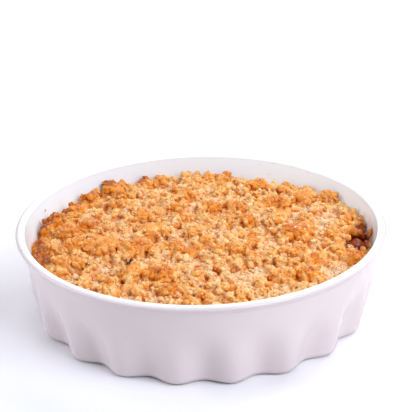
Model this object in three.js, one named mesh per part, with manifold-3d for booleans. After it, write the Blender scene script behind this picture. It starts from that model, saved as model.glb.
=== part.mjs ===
// A fruit cobbler, baked in a round porcelain dish whose wall swells into flutes towards its base.
// Inside the dish lies the fruit filling, and on it the baked crumb topping, with its clumps.
// Millimetres, +Z up. The origin is on the table, under the middle of the dish, and -Y is the front.
import * as THREE from "three";
import { mergeVertices } from "three/addons/utils/BufferGeometryUtils.js";
import Module from "manifold-3d";

const wasm = await Module();
wasm.setup();

// The dish. Its rim is a bead that stands out over the wall, and inside a shoulder leads down from it.
const RIM_RADIUS = 120;
const DISH_HEIGHT = 60;
const RIM_THICKNESS = 2.8;
const RIM_WIDTH = 4.65;
const SHOULDER_DEPTH = 1.6;
const SHOULDER_WIDTH = 0.15;
const WALL_TOP_RADIUS = 117.2;
const BASE_RADIUS = 104.6;
const BASE_ROUND = 6;
const WALL = 3.4;
const FLOOR = 6;
const FLOOR_ROUND = 7;
const FOOT_RADIUS = 90;
const FOOT_RECESS = 1.5;

// The flutes fade out towards the rim. A groove faces the front.
const FLUTES = 19;
const FLUTE_DEPTH = 3;
const FLUTE_INSIDE = 0.85;
const FLUTE_START_Z = 44;
const FLUTE_FULL_Z = 14;
const OUTSIDE_RINGS_Z = [16, 25, 34, 45];
const MID_WALL_Z = 26;
const FACES_PER_FLUTE = 6;
const ROUND_STEPS = [0, 45, 90];

// The food: the filling, then the bed of crumbs, slightly domed
const FILLING_TOP = 38;
const SIDE_GAP = 0.8;
const LAYER_GAP = 0.3;
const BED_CELLS = 40;
const BED_EDGE_Z = 45.4;
const BED_DOME = 2.8;
const BED_WAVE = 0.7;
const WAVE_X = 11;
const WAVE_Y = 14;
const WAVE_SLANT = 17;
const BLOCK_DEPTH = 10;
const CRUMB_CEILING = 55;

// The crumb clumps: the size classes of those thrown at random, and the spacing that they keep.
// Every clump swells the bed, and those listed below also stand out as knobs.
const CRUMB_SEED = 2718;
const SIZE_CLASSES = [
  { count: 8, low: 4.4, high: 5.8 },
  { count: 260, low: 2.9, high: 4.2 },
];
const TRIES_PER_CLUMP = 40;
const CLUMP_SPACING = 0.82;
const CLUMP_INSET = 0.7;
const CLUMP_STRETCH = [1, 1.5];
const CLUMP_SWELL = 0.66;

// The knobs of a clump, as shares of its radius: how far out, how large and how high they are
const KNOB_OUT = [0.42, 0.58];
const KNOB_RADIUS = [0.44, 0.6];
const MIDDLE_KNOB_RADIUS = 0.72;
const KNOB_LIFT = [0.12, 0.32];
const KNOB_FLATNESS = 0.66;
const KNOB_SWING = 0.8;

// The clumps that stand out in the photograph: place, size, how far stretched, and which way in degrees
const STANDING_CLUMPS = [
  { x: -63, y: -12, radius: 9, stretch: 1.15, turn: 10, knobs: 4 },
  { x: -41, y: -14, radius: 8, stretch: 1.2, turn: 0, knobs: 4 },
  { x: -81, y: -9, radius: 7.5, stretch: 1.3, turn: 20, knobs: 3 },
  { x: -19, y: -18, radius: 7.5, stretch: 1.6, turn: 10, knobs: 3 },
  { x: -43, y: -50, radius: 7, stretch: 1.8, turn: 60, knobs: 3 },
  { x: -26, y: -52, radius: 6.5, stretch: 1.3, turn: 150, knobs: 3 },
  { x: 63, y: 5, radius: 9, stretch: 1.4, turn: 15, knobs: 4 },
  { x: 51, y: 54, radius: 7, stretch: 1.5, turn: 165, knobs: 3 },
  { x: 70, y: 24, radius: 4.5, stretch: 1.5, turn: 170, knobs: 2 },
  { x: 89, y: -1, radius: 5, stretch: 1.9, turn: 0, knobs: 2 },
  { x: -62, y: 83, radius: 7, stretch: 1.2, turn: 30, knobs: 3 },
  { x: -40, y: 95, radius: 6, stretch: 1.1, turn: 0, knobs: 3 },
  { x: -78, y: 68, radius: 5.5, stretch: 1.3, turn: 50, knobs: 3 },
  { x: -98, y: 32, radius: 6, stretch: 1.4, turn: 70, knobs: 3 },
  { x: -101, y: -22, radius: 6.5, stretch: 1.2, turn: 100, knobs: 3 },
  { x: -19, y: -75, radius: 6, stretch: 1.8, turn: 150, knobs: 2 },
  { x: -54, y: 69, radius: 5.5, stretch: 1.8, turn: 0, knobs: 2 },
  { x: -86, y: 47, radius: 5, stretch: 1.3, turn: 30, knobs: 2 },
  { x: -86, y: 11, radius: 6.5, stretch: 1.6, turn: 10, knobs: 1 },
  { x: -73, y: 18, radius: 5, stretch: 1.3, turn: 0, knobs: 1 },
  { x: -54, y: 53, radius: 6.5, stretch: 1.7, turn: 170, knobs: 2 },
  { x: -38, y: 34, radius: 4.5, stretch: 2, turn: 170, knobs: 1 },
  { x: -15, y: 46, radius: 5, stretch: 1.4, turn: 0, knobs: 1 },
  { x: -10, y: 68, radius: 5, stretch: 1.7, turn: 170, knobs: 1 },
  { x: -32, y: 9, radius: 8, stretch: 1.5, turn: 0, knobs: 2 },
  { x: -84, y: -35, radius: 7, stretch: 1.5, turn: 150, knobs: 3 },
  { x: -14, y: -42, radius: 3, stretch: 1.1, turn: 0, knobs: 1 },
  { x: -38, y: -73, radius: 3.3, stretch: 1.1, turn: 0, knobs: 1 },
  { x: 38, y: 85, radius: 6, stretch: 1.7, turn: 0, knobs: 2 },
  { x: 59, y: 77, radius: 4, stretch: 1.2, turn: 90, knobs: 1 },
  { x: 87, y: 60, radius: 5.5, stretch: 1.6, turn: 150, knobs: 2 },
  { x: 72, y: 61, radius: 5.5, stretch: 1.2, turn: 0, knobs: 1 },
  { x: 50, y: 22, radius: 6.5, stretch: 1.3, turn: 20, knobs: 2 },
  { x: 32, y: 24, radius: 4.5, stretch: 1.5, turn: 120, knobs: 1 },
  { x: 32, y: -11, radius: 5, stretch: 1.2, turn: 0, knobs: 1 },
  { x: 32, y: -29, radius: 3.8, stretch: 1.1, turn: 0, knobs: 1 },
  { x: 21, y: -21, radius: 5, stretch: 1.7, turn: 0, knobs: 1 },
  { x: 61, y: -26, radius: 6, stretch: 2, turn: 170, knobs: 2 },
  { x: 70, y: -36, radius: 5, stretch: 1.5, turn: 20, knobs: 1 },
  { x: 87, y: -19, radius: 5, stretch: 1.4, turn: 70, knobs: 1 },
  { x: 49, y: -58, radius: 5.5, stretch: 1.4, turn: 0, knobs: 1 },
  { x: 65, y: -55, radius: 5.5, stretch: 1.4, turn: 150, knobs: 1 },
  { x: 8, y: 47, radius: 5, stretch: 1.2, turn: 0, knobs: 1 },
  { x: 24, y: 43, radius: 5, stretch: 1.4, turn: 150, knobs: 1 },
  { x: 20, y: -3, radius: 5, stretch: 1.9, turn: 10, knobs: 2 },
  { x: 98, y: -34, radius: 4.5, stretch: 1.4, turn: 60, knobs: 1 },
  { x: -6, y: -20, radius: 4, stretch: 1.6, turn: 30, knobs: 1 },
];

// Where the fruit shows: a hollow at the right edge and a small gap in front of a clump
const FRUIT_GAPS = [
  { x: 103.8, y: 1, radius: 8.6, stretch: 1.5, turn: 94, fruitTop: 42.5 },
  { x: -44, y: -27.5, radius: 3, stretch: 1.4, turn: 160, fruitTop: 45.5 },
];
const FRUIT_SHARE = 0.72;
const GAP_FOOT_SHARE = 0.75;
const GAP_MOUTH_SHARE = 1.25;
const GAP_SIDES = 12;

// Numbers from 0 to 1 in an order that the seed fixes.
function makeRandom(seed) {
  let state = seed;
  return () => {
    state = (state * 48271) % 2147483647;
    return state / 2147483647;
  };
}

const between = ([low, high], share) => low + (high - low) * share;

// How deep the flutes are at a height, from 0 to 1.
const fluteRamp = (z) =>
  1 - THREE.MathUtils.smoothstep(z, FLUTE_FULL_Z, FLUTE_START_Z);

// Mean radius of the wall's outside and inside at a height, without the flutes.
const outerRadius = (z) =>
  BASE_RADIUS +
  ((WALL_TOP_RADIUS - BASE_RADIUS) * z) / (DISH_HEIGHT - RIM_THICKNESS);
const innerRadius = (z) => outerRadius(z) - WALL;

// A solid of revolution whose profile points also follow the flutes by their share.
function turned(profile) {
  const points = profile.map((p) => new THREE.Vector2(p.r, p.z));
  const geometry = new THREE.LatheGeometry(points, FLUTES * FACES_PER_FLUTE);
  geometry.rotateX(Math.PI / 2);
  const position = geometry.getAttribute("position");
  for (let i = 0; i < position.count; i++) {
    const point = profile[i % profile.length];
    const x = position.getX(i);
    const y = position.getY(i);
    const fromFront = Math.atan2(x, -y);
    const push = -point.flute * FLUTE_DEPTH * Math.cos(FLUTES * fromFront);
    const scale = point.r > 0 ? (point.r + push) / point.r : 1;
    position.setXY(i, x * scale, y * scale);
  }
  return toSolid(geometry);
}

// A closed geometry as a manifold-3d solid, with its shared vertices merged.
function toSolid(geometry) {
  const bare = geometry.clone();
  for (const name of Object.keys(bare.attributes)) {
    if (name !== "position") bare.deleteAttribute(name);
  }
  const merged = mergeVertices(bare, 1e-4);
  return new wasm.Manifold(
    new wasm.Mesh({
      numProp: 3,
      vertProperties: new Float32Array(merged.getAttribute("position").array),
      triVerts: new Uint32Array(merged.index.array),
    }),
  );
}

function toMesh(solid, name, material) {
  const mesh = solid.getMesh();
  const geometry = new THREE.BufferGeometry();
  geometry.setAttribute(
    "position",
    new THREE.BufferAttribute(new Float32Array(mesh.vertProperties), 3),
  );
  geometry.setIndex(new THREE.BufferAttribute(new Uint32Array(mesh.triVerts), 1));
  geometry.computeVertexNormals();
  const made = new THREE.Mesh(geometry, material);
  made.name = name;
  return made;
}

// The dish's profile, from the middle of its underside round to the middle of its floor.
function dishProfile() {
  const underside = [
    { r: 0, z: FOOT_RECESS, flute: 0 },
    { r: FOOT_RADIUS, z: FOOT_RECESS, flute: 0 },
    { r: FOOT_RADIUS + FOOT_RECESS, z: 0, flute: 0 },
  ];
  const baseEdge = ROUND_STEPS.map((degrees) => {
    const turn = THREE.MathUtils.degToRad(degrees);
    const z = BASE_ROUND * (1 - Math.cos(turn));
    const r = outerRadius(BASE_ROUND) - BASE_ROUND * (1 - Math.sin(turn));
    return { r, z, flute: 1 };
  });
  const outside = OUTSIDE_RINGS_Z.map((z) => ({
    r: outerRadius(z),
    z,
    flute: fluteRamp(z),
  }));
  const rimBottom = DISH_HEIGHT - RIM_THICKNESS;
  const rimRound = RIM_THICKNESS / 2;
  const shoulderBottom = DISH_HEIGHT - SHOULDER_DEPTH;
  const rim = [
    { r: WALL_TOP_RADIUS, z: rimBottom, flute: 0 },
    { r: RIM_RADIUS - rimRound / 2, z: rimBottom + rimRound / 4, flute: 0 },
    { r: RIM_RADIUS, z: rimBottom + rimRound, flute: 0 },
    { r: RIM_RADIUS - rimRound, z: DISH_HEIGHT, flute: 0 },
    { r: RIM_RADIUS - RIM_WIDTH, z: DISH_HEIGHT, flute: 0 },
    { r: innerRadius(DISH_HEIGHT) + SHOULDER_WIDTH, z: DISH_HEIGHT - SHOULDER_DEPTH / 2, flute: 0 },
    { r: innerRadius(shoulderBottom), z: shoulderBottom, flute: 0 },
  ];
  const inside = [FLUTE_START_Z, FILLING_TOP, MID_WALL_Z].map((z) => ({
    r: innerRadius(z),
    z,
    flute: FLUTE_INSIDE * fluteRamp(z),
  }));
  const floorEdgeZ = FLOOR + FLOOR_ROUND;
  const floorEdge = ROUND_STEPS.map((degrees) => {
    const turn = THREE.MathUtils.degToRad(degrees);
    const r = innerRadius(floorEdgeZ) - FLOOR_ROUND * (1 - Math.cos(turn));
    const z = floorEdgeZ - FLOOR_ROUND * Math.sin(turn);
    return { r, z, flute: FLUTE_INSIDE };
  });
  const floor = [{ r: 0, z: FLOOR, flute: 0 }];
  return [...underside, ...baseEdge, ...outside, ...rim, ...inside, ...floorEdge, ...floor];
}

// Height of the crumb bed: a low dome with gentle waves.
function bedHeight(x, y) {
  const share = Math.hypot(x, y) / RIM_RADIUS;
  const wave =
    Math.sin(x / WAVE_X + 1) * Math.cos(y / WAVE_Y) +
    Math.sin((x + 2 * y) / WAVE_SLANT + 2);
  return BED_EDGE_Z + BED_DOME * (1 - share * share) + BED_WAVE * wave;
}

// The food's side follows the dish's inside at a gap, from a low height to a high one.
function foodSide(heights) {
  return heights.map((z) => ({
    r: innerRadius(z) - SIDE_GAP,
    z,
    flute: FLUTE_INSIDE * fluteRamp(z),
  }));
}

// Height of the bed with the swell of the clumps.
function swollenHeight(x, y, clumps) {
  let swell = 0;
  for (const clump of clumps) {
    const share = Math.hypot(x - clump.x, y - clump.y) / clump.radius;
    if (share >= 1) continue;
    swell = Math.max(swell, CLUMP_SWELL * clump.radius * Math.sqrt(1 - share * share));
  }
  return bedHeight(x, y) + swell;
}

// The bed's surface on a square block, which the dish's inside then trims.
function bedBlock(clumps) {
  const side = 2 * RIM_RADIUS;
  const block = new THREE.BoxGeometry(side, side, BLOCK_DEPTH, BED_CELLS, BED_CELLS, 1);
  block.translate(0, 0, FILLING_TOP);
  const position = block.getAttribute("position");
  for (let i = 0; i < position.count; i++) {
    if (position.getZ(i) < FILLING_TOP) continue;
    position.setZ(i, swollenHeight(position.getX(i), position.getY(i), clumps));
  }
  return toSolid(block);
}

// The space that the topping can fill: the dish's inside, up to the crumbs' ceiling.
function bedSpace() {
  const bottom = FILLING_TOP + LAYER_GAP;
  const profile = [
    { r: 0, z: bottom, flute: 0 },
    ...foodSide([bottom, FLUTE_START_Z, CRUMB_CEILING]),
    { r: 0, z: CRUMB_CEILING, flute: 0 },
  ];
  return turned(profile);
}

// The clumps: those that stand out, then each size class thrown at random where there is room.
function crumbClumps() {
  const random = makeRandom(CRUMB_SEED);
  const clumps = STANDING_CLUMPS.map((c) => ({ ...c }));
  const taken = [...clumps, ...FRUIT_GAPS];
  const bedRadius = innerRadius(BED_EDGE_Z);
  for (const size of SIZE_CLASSES) {
    let placed = 0;
    for (let t = 0; t < size.count * TRIES_PER_CLUMP && placed < size.count; t++) {
      const draws = Array.from({ length: 5 }, random);
      const radius = between([size.low, size.high], draws[0]);
      const reach = (bedRadius - CLUMP_INSET * radius) * Math.sqrt(draws[1]);
      const angle = 2 * Math.PI * draws[2];
      const x = reach * Math.cos(angle);
      const y = reach * Math.sin(angle);
      const crowded = taken.some(
        (c) => Math.hypot(c.x - x, c.y - y) < CLUMP_SPACING * (c.radius + radius),
      );
      if (crowded) continue;
      const stretch = between(CLUMP_STRETCH, draws[3]);
      const clump = { x, y, radius, stretch, turn: 180 * draws[4], knobs: 0 };
      clumps.push(clump);
      taken.push(clump);
      placed++;
    }
  }
  return clumps;
}

// A clump's knobs: one in the middle and the rest round it, on an oval.
function knobsOf(clump, random) {
  const turn = THREE.MathUtils.degToRad(clump.turn);
  const knobs = [];
  for (let k = 0; k < clump.knobs; k++) {
    const draws = Array.from({ length: 6 }, random);
    const isMiddle = k === 0;
    const angle = (2 * Math.PI * k) / Math.max(1, clump.knobs - 1) + KNOB_SWING * draws[0];
    const out = isMiddle ? 0 : clump.radius * between(KNOB_OUT, draws[1]);
    const along = out * clump.stretch * Math.cos(angle);
    const across = out * Math.sin(angle);
    let share = isMiddle ? MIDDLE_KNOB_RADIUS : between(KNOB_RADIUS, draws[2]);
    if (clump.knobs === 1) share = 1;
    const x = clump.x + along * Math.cos(turn) - across * Math.sin(turn);
    const y = clump.y + along * Math.sin(turn) + across * Math.cos(turn);
    const z = bedHeight(x, y) + clump.radius * between(KNOB_LIFT, draws[3]);
    const tumble = [Math.PI * draws[4], Math.PI * draws[5]];
    knobs.push({ x, y, z, radius: clump.radius * share, stretch: clump.stretch, turn, tumble });
  }
  return knobs;
}

// One knob of crumb: a lump with few faces, tumbled and a little flattened.
function knobSolid(knob) {
  const lump = new THREE.IcosahedronGeometry(knob.radius, 0);
  lump.rotateX(knob.tumble[0]);
  lump.rotateZ(knob.tumble[1]);
  lump.scale(Math.sqrt(knob.stretch), 1 / Math.sqrt(knob.stretch), KNOB_FLATNESS);
  lump.rotateZ(knob.turn);
  lump.translate(knob.x, knob.y, knob.z);
  return toSolid(lump);
}

// The fruit that swells up into a gap: a half oval on the filling, larger all round by a reach.
function fruitLump(gap, reach) {
  const radius = FRUIT_SHARE * gap.radius;
  const lump = new THREE.IcosahedronGeometry(1, 1);
  const along = radius * Math.sqrt(gap.stretch) + reach;
  const across = radius / Math.sqrt(gap.stretch) + reach;
  lump.scale(along, across, gap.fruitTop - FILLING_TOP + reach);
  lump.rotateZ(THREE.MathUtils.degToRad(gap.turn));
  lump.translate(gap.x, gap.y, FILLING_TOP);
  return toSolid(lump);
}

// A gap is open from the filling up to above the crumbs.
function gapSolid(gap) {
  const points = [
    [0, FILLING_TOP - 1],
    [GAP_FOOT_SHARE * gap.radius, FILLING_TOP - 1],
    [GAP_MOUTH_SHARE * gap.radius, CRUMB_CEILING + 1],
    [0, CRUMB_CEILING + 1],
  ].map(([r, z]) => new THREE.Vector2(r, z));
  const funnel = new THREE.LatheGeometry(points, GAP_SIDES);
  funnel.rotateX(Math.PI / 2);
  funnel.scale(Math.sqrt(gap.stretch), 1 / Math.sqrt(gap.stretch), 1);
  funnel.rotateZ(THREE.MathUtils.degToRad(gap.turn));
  funnel.translate(gap.x, gap.y, 0);
  return toSolid(funnel);
}

// The filling fills the dish below the crumbs, and fruit swells up into the gaps.
function fillingSolid() {
  const low = FLOOR + LAYER_GAP;
  const lowEdge = FLOOR + FLOOR_ROUND;
  const profile = [
    { r: 0, z: low, flute: 0 },
    { r: innerRadius(lowEdge) - FLOOR_ROUND, z: low, flute: FLUTE_INSIDE },
    ...foodSide([lowEdge, MID_WALL_Z, FILLING_TOP]),
    { r: 0, z: FILLING_TOP, flute: 0 },
  ];
  let filling = turned(profile);
  for (const gap of FRUIT_GAPS) {
    filling = filling.add(fruitLump(gap, 0));
  }
  return filling;
}

// The topping: the bed, open over the fruit, with its clumps baked on.
function toppingSolid() {
  const random = makeRandom(CRUMB_SEED + 1);
  const clumps = crumbClumps();
  let topping = bedBlock(clumps);
  for (const gap of FRUIT_GAPS) {
    topping = topping.subtract(gapSolid(gap));
  }
  for (const clump of clumps) {
    for (const knob of knobsOf(clump, random)) {
      topping = topping.add(knobSolid(knob));
    }
  }
  topping = topping.intersect(bedSpace());
  for (const gap of FRUIT_GAPS) {
    topping = topping.subtract(fruitLump(gap, LAYER_GAP));
  }
  return topping;
}

const porcelain = new THREE.MeshStandardMaterial({
  name: "porcelain",
  color: 0xf4f0f3,
  roughness: 0.18,
  metalness: 0,
});
const fruit = new THREE.MeshStandardMaterial({
  name: "fruit",
  color: 0x5a1a1c,
  roughness: 0.3,
  metalness: 0,
});
const crumbs = new THREE.MeshStandardMaterial({
  name: "crumbs",
  color: 0xe0a862,
  roughness: 0.75,
  metalness: 0,
});

const cobbler = new THREE.Group();
cobbler.add(toMesh(turned(dishProfile()), "dish", porcelain));
cobbler.add(toMesh(fillingSolid(), "fruit_filling", fruit));
cobbler.add(toMesh(toppingSolid(), "crumb_topping", crumbs));

export default cobbler;
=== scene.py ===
# %% [markdown]
# # A fruit cobbler in its fluted dish
#
# The real thing is cooked fruit under a bed of buttery crumbs, baked in a white porcelain flan dish.
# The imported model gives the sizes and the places. This lesson gives each surface its look: the glaze,
# the browned crust, thousands of loose crumbs, and the fruit that shows where the crust is open.

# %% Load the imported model
import math

import bpy
import numpy as np
from mathutils import Matrix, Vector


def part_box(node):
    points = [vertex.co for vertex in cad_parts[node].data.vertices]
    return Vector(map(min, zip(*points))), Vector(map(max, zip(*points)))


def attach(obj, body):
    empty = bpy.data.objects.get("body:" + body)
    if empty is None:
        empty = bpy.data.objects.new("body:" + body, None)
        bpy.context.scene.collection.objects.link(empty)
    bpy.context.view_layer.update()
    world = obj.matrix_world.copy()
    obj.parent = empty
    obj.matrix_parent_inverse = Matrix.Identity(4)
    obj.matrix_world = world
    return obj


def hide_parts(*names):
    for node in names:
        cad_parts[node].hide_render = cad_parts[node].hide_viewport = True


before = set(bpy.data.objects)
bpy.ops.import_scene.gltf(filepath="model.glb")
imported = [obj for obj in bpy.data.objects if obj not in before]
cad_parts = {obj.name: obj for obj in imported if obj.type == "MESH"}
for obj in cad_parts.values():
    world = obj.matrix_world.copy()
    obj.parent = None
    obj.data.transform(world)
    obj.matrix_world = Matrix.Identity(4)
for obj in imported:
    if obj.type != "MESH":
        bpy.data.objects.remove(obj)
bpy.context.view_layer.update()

# %% [markdown]
# ## Measures
#
# The maker's measures are in millimetres, as in the model, and a mesh is scaled to metres when it is
# filled. The rim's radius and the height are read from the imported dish. The wall leans outwards, and
# its flutes fade out below the rim. Angles are taken from the front, where a groove faces the camera.

# %% The dish's measures
MM = 0.001
DISH_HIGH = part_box("dish")[1]
RIM_RADIUS = DISH_HIGH.x / MM
DISH_HEIGHT = DISH_HIGH.z / MM
RIM_THICKNESS = 2.8
RIM_WIDTH = 4.65
SHOULDER_DEPTH = 1.6
WALL_TOP_RADIUS = 117.2
BASE_RADIUS = 104.6
WALL = 3.4
FLOOR = 6.0
FLOOR_ROUND = 7.0
FLUTES = 19
FLUTE_DEPTH = 3.0
FLUTE_INSIDE = 0.85
FLUTE_START_Z = 44.0
FLUTE_FULL_Z = 14.0


def smoothstep(low, high, value):
    """0 below low, 1 above high, and the curve 3t^2 - 2t^3 between them."""
    share = np.clip((value - low) / (high - low), 0.0, 1.0)
    return share * share * (3.0 - 2.0 * share)


def flute_ramp(z):
    """How deep the flutes are at a height, from 0 to 1."""
    return 1.0 - smoothstep(FLUTE_FULL_Z, FLUTE_START_Z, z)


def outer_radius(z):
    """The wall's outside without its flutes: a straight line from the base to under the rim."""
    return BASE_RADIUS + (WALL_TOP_RADIUS - BASE_RADIUS) * z / (DISH_HEIGHT - RIM_THICKNESS)


def inner_radius(z, angle):
    """The wall's inside: the outside less the wall, with shallower flutes and the floor's rounding."""
    floor_edge = FLOOR + FLOOR_ROUND
    rise = np.clip((floor_edge - z) / FLOOR_ROUND, 0.0, 1.0)
    rounding = FLOOR_ROUND * (1.0 - np.sqrt(1.0 - rise * rise))
    flutes = -FLUTE_DEPTH * FLUTE_INSIDE * flute_ramp(z) * np.cos(FLUTES * angle)
    return outer_radius(np.maximum(z, floor_edge)) - WALL - rounding + flutes


print("rim radius", round(RIM_RADIUS, 2), "mm, height", round(DISH_HEIGHT, 2), "mm")

# %% [markdown]
# ## Whole arrays into a mesh
#
# Each piece is worked out as arrays of points and of faces. One helper puts them into a mesh, and it
# turns every face round if the closed surface's volume comes out negative, so faces point outwards.

# %% Put arrays into a piece
def signed_volume(points, faces):
    """The sum over all triangles of p0 . (p1 x p2) / 6, with each face cut as a fan."""
    total = 0.0
    for block in faces:
        for corner in range(1, block.shape[1] - 1):
            p0, p1, p2 = (points[block[:, c]] for c in (0, corner, corner + 1))
            total += np.einsum("ij,ij->", p0, np.cross(p1, p2)) / 6.0
    return total


def add_piece(name, points, faces, material, marks=None):
    """A smooth mesh from points in millimetres, blocks of faces, and named numbers for each point."""
    if signed_volume(points, faces) < 0:
        faces = [block[:, ::-1] for block in faces]
    corners = np.concatenate([block.ravel() for block in faces]).astype(np.int32)
    sizes = np.concatenate([np.full(len(block), block.shape[1]) for block in faces])
    starts = np.concatenate([[0], np.cumsum(sizes)[:-1]]).astype(np.int32)
    mesh = bpy.data.meshes.new(name)
    mesh.vertices.add(len(points))
    mesh.vertices.foreach_set("co", (points * MM).astype(np.float32).ravel())
    mesh.loops.add(len(corners))
    mesh.loops.foreach_set("vertex_index", corners)
    mesh.polygons.add(len(starts))
    mesh.polygons.foreach_set("loop_start", starts)
    mesh.update(calc_edges=True)
    mesh.shade_smooth()
    for mark, values in (marks or {}).items():
        attribute = mesh.attributes.new(mark, "FLOAT", "POINT")
        attribute.data.foreach_set("value", np.asarray(values, np.float32).ravel())
    mesh.materials.append(material)
    piece = bpy.data.objects.new(name, mesh)
    bpy.context.scene.collection.objects.link(piece)
    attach(piece, "root")
    print(name, int((sizes - 2).sum()), "triangles")
    return piece


# %% [markdown]
# ## Materials in one line a node
#
# A finish is a small tree of nodes. The first helpers make a node, make a finish and join outputs to
# its shader. The others are the few nodes that every finish here needs, so that a finish reads as a
# recipe.

# %% Make nodes
def add_node(tree, kind, inputs=None, **settings):
    """One node: settings are its properties, and inputs are numbers or other nodes' sockets."""
    node = tree.nodes.new(kind)
    for key, value in settings.items():
        setattr(node, key, value)
    for socket, value in (inputs or {}).items():
        if isinstance(value, bpy.types.NodeSocket):
            tree.links.new(value, node.inputs[socket])
        else:
            node.inputs[socket].default_value = value
    return node


def new_finish(name, **constants):
    """A material with one Principled shader, whose constants sit on its own sockets."""
    material = bpy.data.materials.new(name)
    material.use_nodes = True
    tree = material.node_tree
    shader = tree.nodes["Principled BSDF"]
    for socket, value in constants.items():
        shader.inputs[socket.replace("_", " ")].default_value = value
    return material, tree, shader


def drive(tree, shader, **sources):
    """Joins outputs to the shader's sockets of those names."""
    for socket, source in sources.items():
        tree.links.new(source, shader.inputs[socket.replace("_", " ")])


# %% The nodes that the finishes share
def point_mark(tree, name):
    """The number that each point of the mesh carries under this name."""
    return add_node(tree, "ShaderNodeAttribute", attribute_name=name).outputs["Fac"]


def noise(tree, place, scale, detail):
    """Soft noise with this many waves to the metre."""
    inputs = {"Vector": place, "Scale": scale, "Detail": detail}
    return add_node(tree, "ShaderNodeTexNoise", inputs).outputs["Fac"]


def remap(tree, value, old, new):
    """The value carried from the old range to the new one, and held at its ends."""
    inputs = {"Value": value, "From Min": old[0], "From Max": old[1], "To Min": new[0], "To Max": new[1]}
    return add_node(tree, "ShaderNodeMapRange", inputs).outputs["Result"]


def blend(tree, share, under, over):
    """A colour laid over another: only the lower where the share is 0, only the upper where it is 1."""
    inputs = {"Factor": share, 6: under, 7: over}
    return add_node(tree, "ShaderNodeMix", inputs, data_type="RGBA").outputs[2]


def bump(tree, height, strength, distance, invert=False, **below):
    """Tilts the surface as relief of this height would, over the bump below it."""
    inputs = {"Height": height, "Strength": strength, "Distance": distance, **below}
    return add_node(tree, "ShaderNodeBump", inputs, invert=invert).outputs["Normal"]


def color_steps(tree, factor, steps):
    """A ramp from (place, colour) steps, in linear light."""
    ramp = add_node(tree, "ShaderNodeValToRGB", {"Fac": factor})
    elements = ramp.color_ramp.elements
    while len(elements) < len(steps):
        elements.new(0.5)
    for element, (place, color) in zip(elements, steps):
        element.position = place
        element.color = (*color, 1.0)
    return ramp.outputs["Color"]


# %% [markdown]
# ## The glaze
#
# Porcelain is white with a clear, smooth glaze. The glaze pools very slightly, which shows only as a
# soft wobble in its reflections, so the bump is broad and weak. The foot ring stands on the shelf of
# the kiln and has no glaze: there the surface turns rough and a little darker.

# %% Porcelain glaze
# Painted shade and light: one porcelain, painted darker and pinker outside and a bluer white inside
OUTSIDE_SHADED_WHITE = (0.70, 0.605, 0.60, 1.0)
INSIDE_LIT_WHITE = (0.88, 0.965, 1.0, 1.0)
STAIN_AMBER = (0.76, 0.42, 0.12, 1.0)
BARE_CLAY = (0.72, 0.68, 0.66, 1.0)
porcelain, tree, shader = new_finish("porcelain_glaze", IOR=1.5)
place = add_node(tree, "ShaderNodeTexCoord").outputs["Object"]
height = add_node(tree, "ShaderNodeSeparateXYZ", {"Vector": place}).outputs["Z"]
bare_foot = remap(tree, height, (0.0002, 0.0012), (1.0, 0.0))
glaze_color = blend(tree, point_mark(tree, "inside"), OUTSIDE_SHADED_WHITE, INSIDE_LIT_WHITE)
glaze_color = blend(tree, point_mark(tree, "stain"), glaze_color, STAIN_AMBER)
drive(
    tree,
    shader,
    Base_Color=blend(tree, bare_foot, glaze_color, BARE_CLAY),
    Roughness=remap(tree, bare_foot, (0.0, 1.0), (0.2, 0.75)),
    Normal=bump(tree, noise(tree, place, 55.0, 2.0), 0.04, 0.0008),
)
print("porcelain nodes:", len(tree.nodes))

# %% [markdown]
# ## The dish
#
# A potter would press this dish in a mould: it is one profile carried round the axis, and the flutes
# push the lower wall in and out as a cosine of the angle. So the piece is a grid of two parameters,
# the step along the profile and the angle. Each step has its own share of the flutes.

# %% The dish's profile
def arc(r, z, radius_r, radius_z, start, end, steps):
    """Points on an oval about (r, z), from one angle to another, in degrees from the +r axis."""
    turn = np.radians(np.linspace(start, end, steps + 1))
    return np.column_stack([r + radius_r * np.cos(turn), z + radius_z * np.sin(turn)])


FOOT_RADIUS = 90.0
FOOT_RECESS = 1.5
BASE_ROUND = 6.0
UNDER_RIM_ROUND = 2.6
BEAD_WIDTH = 2.6
POLE_RADIUS = 12
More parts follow.
